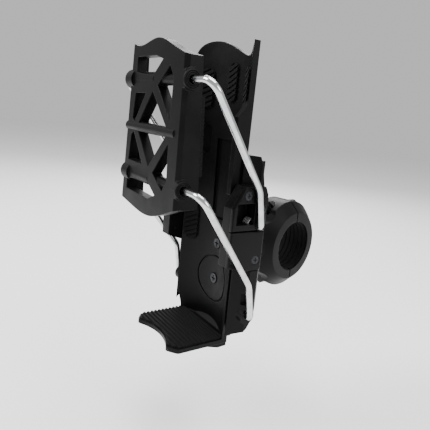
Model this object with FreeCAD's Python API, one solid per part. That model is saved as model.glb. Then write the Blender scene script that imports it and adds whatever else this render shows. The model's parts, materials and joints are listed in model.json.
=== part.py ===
import FreeCAD, Part
import math
import os

os.makedirs("parts", exist_ok=True)
V = FreeCAD.Vector

# Handlebar mount with a spring-loaded parallel jaw.  Millimetres.
# Row frame: origin at the centre of the handlebar bore, +X along the bar, +Z up, -Y towards the jaw.
# The holder is drawn square to the frame and then turned on the ball by HOLDER_TURN.

# ---- driving dimensions: handlebar clamp -------------------------------------------------
BAR_D = 31.8            # handlebar the clamp closes on
LINER_T = 2.0           # rubber liner wall
LINER_W = 26.0          # liner length along the bar
RING_R = 28.7           # outer radius of the clamp ring
RING_W = 28.5           # ring width along the bar
RING_CHAMFER = 6.5      # bevel round the ring's two rims
SCALLOP_R = 11.0        # finger scallops round the ring
SCALLOP_DEPTH = 2.0
SPLIT_GAP = 1.0         # gap between the two halves
BOLT_D = 5.0            # clamp bolts
BOLT_HEAD_D = 8.5
BOLT_HEAD_H = 5.0
BOLT_SEAT_Y = 9.0       # where the bolt heads bear, behind the bar axis
NUT_AF = 8.0            # across flats of the clamp nuts
NUT_T = 4.0
NUT_SEAT_Y = -9.0       # where the nuts bear, in front of the bar axis
BOLT_CLEAR = 0.2        # radial clearance round a bolt shank
FASTENER_CLEAR = 0.25   # radial clearance round heads and nuts in their pockets
THREAD_CLEAR = 0.05     # radial clearance standing in for a thread

# ---- driving dimensions: ball joint -------------------------------------------------------
BALL_Y = -45.0          # ball centre, in front of the bar axis
BALL_R = 6.5
BALL_CLEAR = 0.05       # running clearance of the ball in its seat
SEAT_WALL = 0.5         # housing left between the seat and a plate screw
NECK_R = 3.6
STUD_R = 4.0            # threaded shank of the ball stud
STUD_CLEAR = 0.05       # running clearance of the stud in the clamp
FLANGE_R = 8.0
FLANGE_T = 1.8
WASHER_T = 1.0
PAD_R = 10.5            # boss on the clamp that the stud bears on
PAD_Y = -32.0           # face of that boss
STUD_NUT_AF = 13.0
STUD_NUT_T = 4.4
STUD_WALL = 7.4         # clamp wall between the boss face and the stud nut
SPIGOT_R = 13.5         # threaded spigot behind the housing
COLLAR_R = 19.0         # locking collar
COLLAR_LOBES = 8
LIP_Y = 3.9             # the collar's lip reaches this far past the ball centre
HOLDER_TURN = -12.0     # holder turned on the ball, degrees about +Z

# ---- driving dimensions: back plate -------------------------------------------------------
PLATE_HALF_W = 26.0
PLATE_Y = -56.0         # front face on the centre line
PLATE_R = 41.3          # radius of the hollow front face
PLATE_T = 3.0
PLATE_TOP = 117.0       # height of the horns
PLATE_DIP = 6.0         # depth of the dip between the horns
SCREW_D = 3.0           # plate screws
SCREW_HEAD_D = 6.0
SCREW_ROWS = (5.5, -16.3)
OVAL_R = 13.5           # groove round the lower screw
STRIP_T = 1.2           # grip strips, height above their seat
STRIP_SINK = 0.8        # grip strips, depth let into the plate
STRIP_W = 8.0

# ---- driving dimensions: ledge ------------------------------------------------------------
LEDGE_Z = -43.6         # upper face
LEDGE_T = 2.4
LEDGE_TIP_Y = -95.8
LEDGE_HALF_W = 23.5
LEDGE_HORN_X = 17.5
LEDGE_BITE = 5.5        # hollow in the front edge
PAD_T = 1.6             # rubber pad let into the ledge
PAD_RIM = 0.9           # ledge left bare round its pad
LEDGE_CORNER = 2.5      # rounding of the ledge's corners
RIB_PITCH = 2.5

# ---- driving dimensions: housing ----------------------------------------------------------
BACK_Y = -50.0          # rear face of the housing
SIDE_IN = 27.0          # inner face of the side cheeks
SIDE_OUT = 33.6         # outer face of the side cheeks, under the covers
COVER_T = 2.4           # side covers
COVER_SEAM_Z = 23.0     # seam between the upper and lower cover
SEAM_GAP = 0.4
HOUSING_TOP = 61.0
HOUSING_BOTTOM = -34.0
CHEEK_FRONT_Y = -74.0   # front of the cheeks, beside the middle of the plate
CHEEK_TOP = 46.0
CHEEK_BOTTOM = 4.0
CHEEK_REAR_Y = -52.6
FLANK_FRONT_Y = -65.0   # where the slanting flank leaves the plate's edge
FLANK_REAR_Y = -59.0    # where it reaches its full width
COVER_SCREW_D = 2.5
COVER_HEAD_D = 4.6
PIVOT_BOSS_R = 4.4      # boss round the lower pivots

# ---- driving dimensions: linkage ----------------------------------------------------------
ROD_D = 3.5             # stainless wire
LEG_X = 38.2            # centre of a wire's leg at the pivot and the knee
CORNER_X = 45.0         # the legs splay out to the crossbar
PIVOT_Y = -57.6
UPPER_PIVOT_Z = 25.2
PIVOT_SPACING = 50.2    # upper pivot above lower pivot, and upper boss above lower boss
KNEE_DY = -3.2          # knee of the leg, from its pivot
KNEE_DZ = 18.8
BOSS_DY = -41.4         # crossbar, from its pivot
BOSS_DZ = 68.2
BEND_FRONT = 6.0        # bend radius at the crossbar
BEND_REAR = 2.0         # bend radius at the hook
BEND_KNEE = 12.0
HOOK_END_X = 28.0       # inner end of the hooked rear ends
ROD_CLEAR = 0.08        # running clearance of a wire in its bore
LOOP_CLEAR = 0.3        # extra clearance of the lower wire in the jaw, where the loop is opened
SPRING_R = 4.6          # mean radius of the torsion springs
SPRING_WIRE = 1.1
SPRING_TURNS = 5
SPRING_CLEAR = 0.4
HUB_R = 3.4             # hub round the upper pivot inside the spring
SPRING_PITCH = 1.0       # a little under the wire, so that the turns touch
STOP_GAP = 0.1          # wire leg to stop lug with the jaw closed
STOP_AT = 0.75          # how far up from the pivot to the knee the stop lug sits

# ---- driving dimensions: jaw, drawn about its own middle plane ------------------------------
JAW_X = -4.6            # the jaw has slid along the crossbars towards the left bends
JAW_HALF_W = 32.4       # right side wall
JAW_LEFT_W = 29.0       # left side wall at mid height
JAW_LEAN = 0.079        # the left wall leans in by this much per millimetre of height
JAW_FRONT_Y = -102.6
JAW_T = 5.6             # depth of the lattice
JAW_SIDE_Y = -92.0      # rear edge of the side walls at mid height
JAW_SIDE_LEAN = 0.055   # slope of that rear edge
JAW_SIDE_T = 3.2
JAW_EDGE = 2.0          # bevel between the front and the side walls
JAW_TOP = 113.0
JAW_BOTTOM = 24.5
RIB_W = 4.2             # lattice bars
NODE_X = (-18.0, 1.0, 23.0)          # lattice nodes across the jaw
NODE_Z = (90.6, 68.8, 46.8)          # and up it
TUBE_R = 3.8            # tubes round the crossbars, from the left wall to the middle nodes
SLEEVE_R = 2.9          # thinner sleeves that carry on behind the right-hand windows
BOSS_R = 5.3
BOSS_RIGHT = 32.8       # outer ends of the bosses
BOSS_LEFT = 30.0
BUSH_T = 1.0            # wall of the end bushes
BUSH_LEN = 6.0
BUSH_HEAD_R = 4.5
BUSH_HEAD_T = 1.0
JAW_PAD_T = 1.6         # soft caps on the rear edges of the side walls

# ---- where the small things go, (y, z) on a side or (x, z0, z1) on the plate ------------------
CHEEK = ((CHEEK_FRONT_Y, CHEEK_BOTTOM), (CHEEK_FRONT_Y, CHEEK_TOP - 11), (CHEEK_FRONT_Y + 6.5, CHEEK_TOP),
         (CHEEK_REAR_Y - 2, CHEEK_TOP), (CHEEK_REAR_Y, CHEEK_TOP - 4), (CHEEK_REAR_Y, CHEEK_BOTTOM - 3),
         (CHEEK_FRONT_Y + 9, CHEEK_BOTTOM - 3))
WINDOW = ((-71.8, 26.5), (-71.8, 37.5), (-60.6, 37.5), (-60.6, 26.5))
COVER_SCREWS = ((-55.6, 33.6), (-65.5, 41.4), (-56.5, 7.0), (-70.5, 8.0))
STRIPS = ((0.0, 86.0, 107.0), (20.5, 3.0, 25.0), (-20.5, 3.0, 25.0), (18.4, 82.0, 104.0), (-18.4, 82.0, 104.0))

ROD_R = ROD_D / 2
BAR_R = BAR_D / 2
LINER_R = BAR_R + LINER_T
LOWER_PIVOT_Z = UPPER_PIVOT_Z - PIVOT_SPACING
BOSS_Y = PIVOT_Y + BOSS_DY
UPPER_BOSS_Z = UPPER_PIVOT_Z + BOSS_DZ
LOWER_BOSS_Z = UPPER_BOSS_Z - PIVOT_SPACING
BOLT_Z = (LINER_R + RING_R) / 2
PLATE_CY = PLATE_Y - PLATE_R
PLATE_BACK_R = PLATE_R + PLATE_T
COVER_OUT = SIDE_OUT + COVER_T


# ---- helpers ------------------------------------------------------------------------------
def box(x0, x1, y0, y1, z0, z1):
    """Box between two corners."""
    return Part.makeBox(x1 - x0, y1 - y0, z1 - z0, V(x0, y0, z0))


def cyl(radius, start, end):
    """Cylinder between two points."""
    a, b = V(*start), V(*end)
    return Part.makeCylinder(radius, (b - a).Length, a, b - a)


def prism(points, axis, start, end):
    """Extrude a closed outline along X, Y or Z; points are the two other coordinates in order."""
    if axis == "X":
        pts = [V(start, a, b) for a, b in points]
        vec = V(end - start, 0, 0)
    elif axis == "Y":
        pts = [V(a, start, b) for a, b in points]
        vec = V(0, end - start, 0)
    else:
        pts = [V(a, b, start) for a, b in points]
        vec = V(0, 0, end - start)
    return Part.Face(Part.makePolygon(pts + [pts[0]])).extrude(vec)


def hexagon(across_flats, start, end):
    """Hexagonal prism along Y between two points."""
    radius = across_flats / math.sqrt(3)
    x, y, z = start
    pts = [(x + radius * math.sin(math.radians(60 * i)), z + radius * math.cos(math.radians(60 * i)))
           for i in range(6)]
    return prism(pts, "Y", y, end[1])


def fillet(shape, radius, keep):
    """Round the edges that keep() accepts."""
    edges = [e for e in shape.Edges if keep(e)]
    return shape.makeFillet(radius, edges) if edges else shape


def along(edge, axis):
    """True for a straight edge along the given axis."""
    d = edge.Vertexes[-1].Point - edge.Vertexes[0].Point
    return d.Length > 1e-6 and abs(d.dot(axis)) / d.Length > 0.9999


def mirrored(shape):
    """The same piece on the other side of the holder's middle plane."""
    return shape.mirror(V(0, 0, 0), V(1, 0, 0))


def both(shape):
    """A piece and its mirror image as one group."""
    return Part.Compound([shape, mirrored(shape)])


def turned(shape):
    """Turn a holder piece on the ball."""
    out = shape.copy()
    out.rotate(V(0, BALL_Y, 0), V(0, 0, 1), HOLDER_TURN)
    return out


def export(name, shape):
    """Write one node."""
    solids = shape.Solids
    assert solids and all(s.isValid() for s in solids), name
    out = solids[0] if len(solids) == 1 else Part.Compound(solids)
    out.exportStep("parts/" + name + ".step")
    print(name, len(solids), round(sum(s.Volume for s in solids) / 1000, 2))


# ---- handlebar clamp ----------------------------------------------------------------------
def liner_half(side):
    """Rubber half shell; side is -1 in front of the bar, +1 behind it."""
    w = LINER_W / 2
    tongue = 4.0
    shell = cyl(LINER_R, (-w, 0, 0), (w, 0, 0))
    shell = shell.fuse(cyl(LINER_R + 1.2, (-tongue, 0, 0), (tongue, 0, 0)))
    shell = shell.cut(cyl(BAR_R, (-RING_W, 0, 0), (RING_W, 0, 0)))
    reach = 2 * RING_R
    lo, hi = sorted((side * SPLIT_GAP / 2, side * reach))
    half = shell.common(box(-reach, reach, lo, hi, -reach, reach))
    return half


def ring_blank():
    """Scalloped ring with bevelled rims, before it is split."""
    w = RING_W / 2
    ring = cyl(RING_R, (-w, 0, 0), (w, 0, 0))
    ring = ring.makeChamfer(RING_CHAMFER, [e for e in ring.Edges if len(e.Vertexes) == 1])
    reach = RING_R + SCALLOP_R - SCALLOP_DEPTH
    for angle in (0, 45, -45, 135, -135):
        y = -reach * math.cos(math.radians(angle))
        z = reach * math.sin(math.radians(angle))
        ring = ring.cut(cyl(SCALLOP_R, (-RING_W, y, z), (RING_W, y, z)))
    return ring


def ring_half(side):
    """One half of the ring with its liner seat."""
    reach = 2 * RING_R
    lo, hi = sorted((side * SPLIT_GAP / 2, side * reach))
    half = ring_blank().common(box(-reach, reach, lo, hi, -reach, reach))
    half = half.cut(cyl(BAR_R + 0.4, (-reach, 0, 0), (reach, 0, 0)))
    half = half.cut(liner_half(side))
    for sign in (-1, 1):
        z = sign * BOLT_Z
        half = half.cut(cyl(BOLT_D / 2 + BOLT_CLEAR, (0, -reach, z), (0, reach, z)))
    return half


def clamp_front():
    """Front half: nut pockets, boss for the ball stud and a pocket for the stud nut."""
    half = ring_half(-1)
    boss = cyl(PAD_R, (0, PAD_Y, 0), (0, -LINER_R - 1.5, 0))
    half = half.fuse(boss.cut(cyl(LINER_R + 0.6, (-RING_W, 0, 0), (RING_W, 0, 0))))
    half = half.cut(cyl(STUD_R + STUD_CLEAR, (0, PAD_Y - 1, 0), (0, 0, 0)))
    nut_room = STUD_NUT_AF / math.sqrt(3) + 0.6
    half = half.cut(cyl(nut_room, (0, PAD_Y + STUD_WALL, 0), (0, 0, 0)))
    for sign in (-1, 1):
        z = sign * BOLT_Z
        half = half.cut(hexagon(NUT_AF + 2 * FASTENER_CLEAR, (0, -RING_R, z), (0, NUT_SEAT_Y, z)))
    return half.removeSplitter()


def clamp_rear():
    """Rear half with counterbores for the bolt heads."""
    half = ring_half(1)
    for sign in (-1, 1):
        z = sign * BOLT_Z
        half = half.cut(cyl(BOLT_HEAD_D / 2 + FASTENER_CLEAR, (0, BOLT_SEAT_Y, z), (0, RING_R, z)))
    return half.removeSplitter()


def clamp_bolts():
    """Two socket-head bolts."""
    out = []
    for sign in (-1, 1):
        z = sign * BOLT_Z
        bolt = cyl(BOLT_D / 2, (0, NUT_SEAT_Y - NUT_T - 1.0, z), (0, BOLT_SEAT_Y + 1, z))
        head = cyl(BOLT_HEAD_D / 2, (0, BOLT_SEAT_Y, z), (0, BOLT_SEAT_Y + BOLT_HEAD_H, z))
        socket = hexagon(4.0, (0, BOLT_SEAT_Y + BOLT_HEAD_H - 2.6, z), (0, BOLT_SEAT_Y + BOLT_HEAD_H + 1, z))
        out.append(bolt.fuse(head).cut(socket).removeSplitter())
    return Part.Compound(out)


def clamp_nuts():
    """Two hexagon nuts in the front half."""
    out = []
    for sign in (-1, 1):
        z = sign * BOLT_Z
        nut = hexagon(NUT_AF, (0, NUT_SEAT_Y - NUT_T, z), (0, NUT_SEAT_Y, z))
        out.append(nut.cut(cyl(BOLT_D / 2 + THREAD_CLEAR, (0, -RING_R, z), (0, RING_R, z))))
    return Part.Compound(out)


# ---- ball joint ---------------------------------------------------------------------------
def ball_stud():
    """Ball, neck, flange and threaded shank in one piece."""
    flange_y = PAD_Y - WASHER_T
    ball = Part.makeSphere(BALL_R, V(0, BALL_Y, 0))
    neck = cyl(NECK_R, (0, BALL_Y, 0), (0, flange_y, 0))
    flange = cyl(FLANGE_R, (0, flange_y - FLANGE_T, 0), (0, flange_y, 0))
    shank = cyl(STUD_R, (0, flange_y - 1, 0), (0, PAD_Y + STUD_WALL + STUD_NUT_T, 0))
    return ball.fuse([neck, flange, shank]).removeSplitter()


def friction_washer():
    """Flat washer between the stud's flange and the clamp's boss."""
    ring = cyl(FLANGE_R + 0.8, (0, PAD_Y - WASHER_T, 0), (0, PAD_Y, 0))
    return ring.cut(cyl(STUD_R + THREAD_CLEAR, (0, PAD_Y - 5, 0), (0, PAD_Y + 5, 0)))


def stud_nut():
    """Lock nut on the stud, under the front liner."""
    y = PAD_Y + STUD_WALL
    nut = hexagon(STUD_NUT_AF, (0, y, 0), (0, y + STUD_NUT_T, 0))
    return nut.cut(cyl(STUD_R + THREAD_CLEAR, (0, y - 1, 0), (0, y + STUD_NUT_T + 1, 0)))


def socket_collar():
    """Lobed locking collar that holds the ball in its seat."""
    start, end = BACK_Y + 0.2, BALL_Y + LIP_Y
    collar = cyl(COLLAR_R, (0, start, 0), (0, end, 0))
    collar = collar.makeChamfer(1.2, [e for e in collar.Edges if len(e.Vertexes) == 1])
    lobe_reach = COLLAR_R + 5.2
    for i in range(COLLAR_LOBES):
        a = math.radians((i + 0.5) * 360 / COLLAR_LOBES)
        x, z = lobe_reach * math.sin(a), lobe_reach * math.cos(a)
        collar = collar.cut(cyl(6.5, (x, start - 1, z), (x, end + 1, z)))
    collar = collar.cut(cyl(SPIGOT_R + THREAD_CLEAR, (0, start - 1, 0), (0, BALL_Y - 0.3, 0)))
    return collar.cut(Part.makeSphere(BALL_R + BALL_CLEAR, V(0, BALL_Y, 0)))


# ---- back plate and ledge -----------------------------------------------------------------
def plate_shell(inner, outer, z0, z1):
    """Shell of the hollow plate between two radii, as wide as the plate."""
    reach = 3 * PLATE_R
    shell = cyl(outer, (0, PLATE_CY, z0), (0, PLATE_CY, z1))
    shell = shell.cut(cyl(inner, (0, PLATE_CY, z0 - 1), (0, PLATE_CY, z1 + 1)))
    return shell.common(box(-PLATE_HALF_W, PLATE_HALF_W, PLATE_CY, reach, z0, z1))


def plate_outline():
    """Front view of the plate: two horns with a wave between them, tapering to the ledge."""
    w, top, dip = PLATE_HALF_W, PLATE_TOP, PLATE_DIP
    wave = Part.BSplineCurve()
    wave.interpolate([V(-w, 0, top - dip), V(-w + 4, 0, top), V(-w / 2, 0, top + 1.6), V(0, 0, top - 2.6),
                      V(w * 0.36, 0, top - dip), V(w * 0.66, 0, top - dip - 0.4), V(w - 3.5, 0, top - 2.0),
                      V(w, 0, top - 1)])
    foot = LEDGE_Z - LEDGE_T
    pts = [V(w, 0, top - 1), V(w, 0, HOUSING_BOTTOM + 4), V(LEDGE_HALF_W, 0, LEDGE_Z + 2), V(LEDGE_HALF_W, 0, foot),
           V(-LEDGE_HALF_W, 0, foot), V(-LEDGE_HALF_W, 0, LEDGE_Z + 2), V(-w, 0, HOUSING_BOTTOM + 4),
           V(-w, 0, top - dip)]
    wire = Part.Wire([wave.toShape()] + Part.makePolygon(pts).Edges)
    face = Part.Face(wire)
    face.translate(V(0, -200, 0))
    return face.extrude(V(0, 400, 0))


def ledge_outline(inset, z0, z1):
    """Plan view of the ledge with a hollow front edge between two horns."""
    w, tip = LEDGE_HALF_W - inset, LEDGE_TIP_Y + inset
    horn = LEDGE_HORN_X - inset / 2
    root = PLATE_Y + 4
    a, b, c = V(-horn, tip, z0), V(0, tip + LEDGE_BITE, z0), V(horn, tip, z0)
    edges = [Part.Arc(a, b, c).toShape()]
    pts = [c, V(w, tip + 4.5, z0), V(w, root, z0), V(-w, root, z0), V(-w, tip + 4.5, z0), a]
    wire = Part.Wire(edges + Part.makePolygon(pts).Edges)
    return Part.Face(wire).extrude(V(0, 0, z1 - z0))


def strip_blank(x, z0, z1, sink, rise):
    """Pill-shaped strip that follows the hollow face."""
    half = STRIP_W / 2
    pill = box(x - half, x + half, PLATE_CY, 0, z0 + half, z1 - half)
    pill = pill.fuse([cyl(half, (x, PLATE_CY, z0 + half), (x, 0, z0 + half)),
                      cyl(half, (x, PLATE_CY, z1 - half), (x, 0, z1 - half))])
    return pill.common(plate_shell(PLATE_R - rise, PLATE_R + sink, z0 - 1, z1 + 1)).removeSplitter()


def pad_blank(top):
    """Room for the ledge's pad up to a height, clear of the plate's hollow face."""
    base = LEDGE_Z - PAD_T
    pad = ledge_outline(PAD_RIM, base, top).common(box(-200, 200, -200, PLATE_Y - 6, -200, 200))
    return pad.cut(plate_shell(PLATE_R - 0.3, PLATE_BACK_R + 5, base - 1, top + 1))


def back_plate():
    """Hollow plate with the ledge moulded on its foot."""
    foot = LEDGE_Z - LEDGE_T
    plate = plate_shell(PLATE_R, PLATE_BACK_R, foot, PLATE_TOP + 5)
    ledge = ledge_outline(0, LEDGE_Z - LEDGE_T, LEDGE_Z)
    corners = [e for e in ledge.Edges if along(e, V(0, 0, 1)) and e.CenterOfMass.y < LEDGE_TIP_Y + 6]
    ledge = ledge.makeFillet(LEDGE_CORNER, corners)
    ledge = ledge.common(cyl(PLATE_BACK_R, (0, PLATE_CY, foot), (0, PLATE_CY, LEDGE_Z)).fuse(
        box(-200, 200, -300, PLATE_CY, foot, LEDGE_Z)))
    root = prism([(PLATE_Y + 1, LEDGE_Z - 0.5), (PLATE_Y + 1, LEDGE_Z + 3.5), (PLATE_Y - 3, LEDGE_Z - 0.5)],
                 "X", -LEDGE_HALF_W + 3, LEDGE_HALF_W - 3)
    heel = prism([(PLATE_Y - 22, foot + 0.5), (PLATE_Y - 8, foot - 3.5), (PLATE_Y + 1, foot - 3.0),
                  (PLATE_Y + 1, foot + 0.5)], "X", -LEDGE_HALF_W + 2, LEDGE_HALF_W - 2)
    heel = heel.common(cyl(PLATE_BACK_R, (0, PLATE_CY, foot - 9), (0, PLATE_CY, foot + 9)))
    rib = prism([(PLATE_Y - 14, 40), (PLATE_Y - 14, 79), (PLATE_Y - 7, 88), (PLATE_Y - 1, 88), (PLATE_Y - 1, 40)],
                "X", PLATE_HALF_W - 3.2, PLATE_HALF_W)
    rib = rib.common(cyl(PLATE_BACK_R - 1, (0, PLATE_CY, 0), (0, PLATE_CY, 99)))
    body = plate.common(plate_outline()).fuse([ledge, root, heel, rib, mirrored(rib)])
    body = body.cut(pad_blank(LEDGE_Z + 1))
    # pill recesses either side, and the long centre recess
    for side in (-1, 1):
        x = side * 17.0
        pill = box(x - 3.5, x + 3.5, PLATE_CY, 0, 60, 70)
        pill = pill.fuse([cyl(3.5, (x, PLATE_CY, 60), (x, 0, 60)), cyl(3.5, (x, PLATE_CY, 70), (x, 0, 70))])
        body = body.cut(pill.common(plate_shell(PLATE_R - 1, PLATE_R + 1.6, 50, 80)))
    slot = prism([(-7.5, 20), (7.5, 20), (9, 66), (-9, 66)], "Y", PLATE_CY, 0)
    body = body.cut(slot.common(plate_shell(PLATE_R - 1, PLATE_R + 1.6, 18, 70)))
    groove = cyl(OVAL_R + 0.9, (0, PLATE_CY, SCREW_ROWS[1]), (0, 0, SCREW_ROWS[1]))
    groove = groove.cut(cyl(OVAL_R, (0, PLATE_CY, SCREW_ROWS[1]), (0, 0, SCREW_ROWS[1])))
    body = body.cut(groove.common(plate_shell(PLATE_R - 1, PLATE_R + 0.7, -40, 20)))
    for x, z0, z1 in STRIPS:
        body = body.cut(strip_blank(x, z0, z1, STRIP_SINK, 1.0))
    for z in SCREW_ROWS:
        body = body.cut(cyl(SCREW_D / 2 + BOLT_CLEAR, (0, PLATE_CY, z), (0, 0, z)))
        body = body.cut(cyl(SCREW_HEAD_D / 2 + BOLT_CLEAR, (0, PLATE_CY, z), (0, PLATE_Y + 1.2, z)))
    return body.removeSplitter()


def grip_strips(rows):
    """Rubber strips with slanting ribs."""
    out = []
    for x, z0, z1 in rows:
        strip = strip_blank(x, z0, z1, STRIP_SINK, STRIP_T)
        z = z0 - STRIP_W
        while z < z1:
            cutter = prism([(x - STRIP_W, z), (x - STRIP_W, z + 1.2), (x + STRIP_W, z + STRIP_W + 1.2),
                            (x + STRIP_W, z + STRIP_W)], "Y", PLATE_CY, 0)
            strip = strip.cut(cutter.common(plate_shell(PLATE_R - 3, PLATE_R - STRIP_T / 2, z0 - 3, z1 + 3)))
            z += 3.0
        out.append(strip)
    return Part.Compound(out)


def ledge_pad():
    """Rubber pad on the ledge with ribs across it."""
    pad = pad_blank(LEDGE_Z + 1.2)
    y = LEDGE_TIP_Y + 1.5
    while y < PLATE_Y - 6:
        notch = prism([(y, LEDGE_Z + 2), (y + RIB_PITCH / 2, LEDGE_Z), (y + RIB_PITCH, LEDGE_Z + 2)], "X", -40, 40)
        pad = pad.cut(notch)
        y += RIB_PITCH
    return pad


def screw_end(z):
    """Where a plate screw's tip ends: in the housing, short of the ball's seat."""
    seat = BALL_R + BALL_CLEAR + SEAT_WALL
    near = max(abs(z) - SCREW_D / 2, 0.0)
    return min(BACK_Y - 1.0, BALL_Y - math.sqrt(max(seat ** 2 - near ** 2, 0.0)))


def plate_screws():
    """Two screws on the centre line, from the front."""
    out = []
    for z in SCREW_ROWS:
        head = cyl(SCREW_HEAD_D / 2, (0, PLATE_Y - 0.6, z), (0, PLATE_Y + 1.2, z))
        shank = cyl(SCREW_D / 2, (0, PLATE_Y + 0.5, z), (0, screw_end(z), z))
        cross = box(-1.8, 1.8, PLATE_Y - 2, PLATE_Y + 0.2, z - 0.35, z + 0.35)
        cross = cross.fuse(box(-0.35, 0.35, PLATE_Y - 2, PLATE_Y + 0.2, z - 1.8, z + 1.8))
        out.append(head.fuse(shank).cut(cross).removeSplitter())
    return Part.Compound(out)


# ---- rear housing -------------------------------------------------------------------------
SPRING_LEN = (SPRING_TURNS - 1) * SPRING_PITCH + SPRING_WIRE


def outward(side, x, reach=60):
    """Range in X from a plane on one side of the holder to well outside it."""
    return sorted((side * x, side * reach))


def spring_well(side):
    """Ring-shaped well round the upper pivot, open to the cover, with a hub left in the middle."""
    x0, x1 = side * (SIDE_OUT - SPRING_LEN - SPRING_CLEAR), side * (SIDE_OUT + 1)
    outer = SPRING_R + SPRING_WIRE / 2 + SPRING_CLEAR
    well = cyl(outer, (x0, PIVOT_Y, UPPER_PIVOT_Z), (x1, PIVOT_Y, UPPER_PIVOT_Z))
    hub = cyl(HUB_R, (side * SIDE_IN, PIVOT_Y, UPPER_PIVOT_Z), (side * SIDE_OUT, PIVOT_Y, UPPER_PIVOT_Z))
    return well.cut(hub)


def flank():
    """Right flank of the housing: a wall that slants out to the rear."""
    wide = COVER_OUT
    plan = [(SIDE_IN, FLANK_FRONT_Y), (wide, FLANK_REAR_Y), (wide, FLANK_REAR_Y + 5), (wide - 3, BACK_Y),
            (SIDE_IN - 2, BACK_Y), (SIDE_IN - 2, FLANK_FRONT_Y + 2)]
    side_view = [(-80, HOUSING_BOTTOM - 1), (-66, HOUSING_BOTTOM - 6), (-57, HOUSING_BOTTOM + 2),
                 (BACK_Y - 1.5, HOUSING_BOTTOM + 12), (BACK_Y - 3, 30), (BACK_Y - 5, 40), (BACK_Y - 7, 49),
                 (FLANK_REAR_Y - 0.8, HOUSING_TOP), (-80, HOUSING_TOP + 1)]
    low = HOUSING_BOTTOM - 9
    return prism(plan, "Z", low, HOUSING_TOP).common(prism(side_view, "X", 0, 60))


def housing_core():
    """Back wall, cheeks, flanks and lower pivot bosses before the plate's room is cleared."""
    wall = box(-SIDE_IN, SIDE_IN, -75, BACK_Y, HOUSING_BOTTOM + 2, HOUSING_TOP - 3)
    cheek = prism(list(CHEEK), "X", SIDE_IN, SIDE_OUT)
    boss = cyl(PIVOT_BOSS_R, (SIDE_IN, PIVOT_Y, LOWER_PIVOT_Z), (COVER_OUT, PIVOT_Y, LOWER_PIVOT_Z))
    side = flank()
    body = wall.fuse([cheek, mirrored(cheek), side, mirrored(side), boss, mirrored(boss)])
    low, high = HOUSING_BOTTOM - 20, HOUSING_TOP + 20
    room = cyl(PLATE_BACK_R, (0, PLATE_CY, low), (0, PLATE_CY, high))
    body = body.cut(room.common(box(-SIDE_IN - 0.5, SIDE_IN + 0.5, -200, 0, low, high)))
    body = body.cut(box(-SIDE_IN, SIDE_IN, -200, PLATE_CY + 26, low, high))
    body = body.fuse(cyl(SPIGOT_R, (0, BACK_Y - 1.5, 0), (0, BALL_Y - 0.5, 0)))
    return body.cut(Part.makeSphere(BALL_R + BALL_CLEAR, V(0, BALL_Y, 0)))


def rear_housing():
    """Back wall with the ball's seat, and two sides that carry the wires."""
    body = housing_core()
    for side in (-1, 1):
        x0, x1 = outward(side, SIDE_OUT)
        body = body.cut(prism(list(CHEEK), "X", x0, x1))
        body = body.cut(spring_well(side))
        x0, x1 = outward(side, SIDE_OUT - 5)
        body = body.cut(prism(list(WINDOW), "X", x0, x1))
        x0, x1 = outward(side, COVER_OUT - 3)
        body = body.cut(box(x0, x1, -63.0, -56.5, -18.5, -12.0))
        for z in (UPPER_PIVOT_Z, LOWER_PIVOT_Z):
            start = (side * (HOOK_END_X - 0.5), PIVOT_Y, z)
            body = body.cut(cyl(ROD_R + ROD_CLEAR, start, (side * 60, PIVOT_Y, z)))
        for y, z in COVER_SCREWS:
            start = (side * (SIDE_OUT - 6), y, z)
            body = body.cut(cyl(COVER_SCREW_D / 2 + THREAD_CLEAR, start, (side * 60, y, z)))
    for z in SCREW_ROWS:
        body = body.cut(cyl(SCREW_D / 2 + THREAD_CLEAR, (0, -100, z), (0, BACK_Y - 0.8, z)))
    return body.removeSplitter()


def stop_lug():
    """Lug behind the right upper leg; its front face follows the leg."""
    slope = KNEE_DY / KNEE_DZ
    middle = KNEE_DZ * STOP_AT
    front = []
    for dz in (middle - 2.2, middle + 2.2):
        front.append((PIVOT_Y + slope * dz + (ROD_R + STOP_GAP) * math.hypot(1, slope), UPPER_PIVOT_Z + dz))
    back = [(y + 2.6, z) for y, z in reversed(front)]
    return prism(front + back, "X", COVER_OUT - 1, LEG_X + 1)


def side_cover(upper):
    """Outer cover of the right cheek, above or below the seam."""
    full = prism(list(CHEEK), "X", SIDE_OUT, COVER_OUT)
    if upper:
        part = full.common(box(0, 99, -99, 0, COVER_SEAM_Z + SEAM_GAP / 2, 99))
    else:
        part = full.common(box(0, 99, -99, 0, -99, COVER_SEAM_Z - SEAM_GAP / 2))
    part = fillet(part, 0.9, lambda e: e.BoundBox.XMin > COVER_OUT - 0.01 and e.Length > 1.5)
    if upper:
        part = part.cut(prism(list(WINDOW), "X", 0, 99))
        part = part.fuse(stop_lug())
    part = part.cut(cyl(ROD_R + ROD_CLEAR, (0, PIVOT_Y, UPPER_PIVOT_Z), (99, PIVOT_Y, UPPER_PIVOT_Z)))
    for y, z in COVER_SCREWS:
        part = part.cut(cyl(COVER_SCREW_D / 2 + BOLT_CLEAR, (0, y, z), (99, y, z)))
        part = part.cut(cyl(COVER_HEAD_D / 2 + BOLT_CLEAR, (COVER_OUT - 1.3, y, z), (99, y, z)))
    return part


def cover_screws():
    """Four small screws on the right side."""
    out = []
    for y, z in COVER_SCREWS:
        head = cyl(COVER_HEAD_D / 2, (COVER_OUT - 1.3, y, z), (COVER_OUT - 0.1, y, z))
        shank = cyl(COVER_SCREW_D / 2, (SIDE_OUT - 5, y, z), (COVER_OUT - 1.0, y, z))
        cross = box(COVER_OUT - 0.7, COVER_OUT + 1, y - 1.3, y + 1.3, z - 0.25, z + 0.25)
        cross = cross.fuse(box(COVER_OUT - 0.7, COVER_OUT + 1, y - 0.25, y + 0.25, z - 1.3, z + 1.3))
        out.append(head.fuse(shank).cut(cross).removeSplitter())
    return Part.Compound(out)


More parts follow.
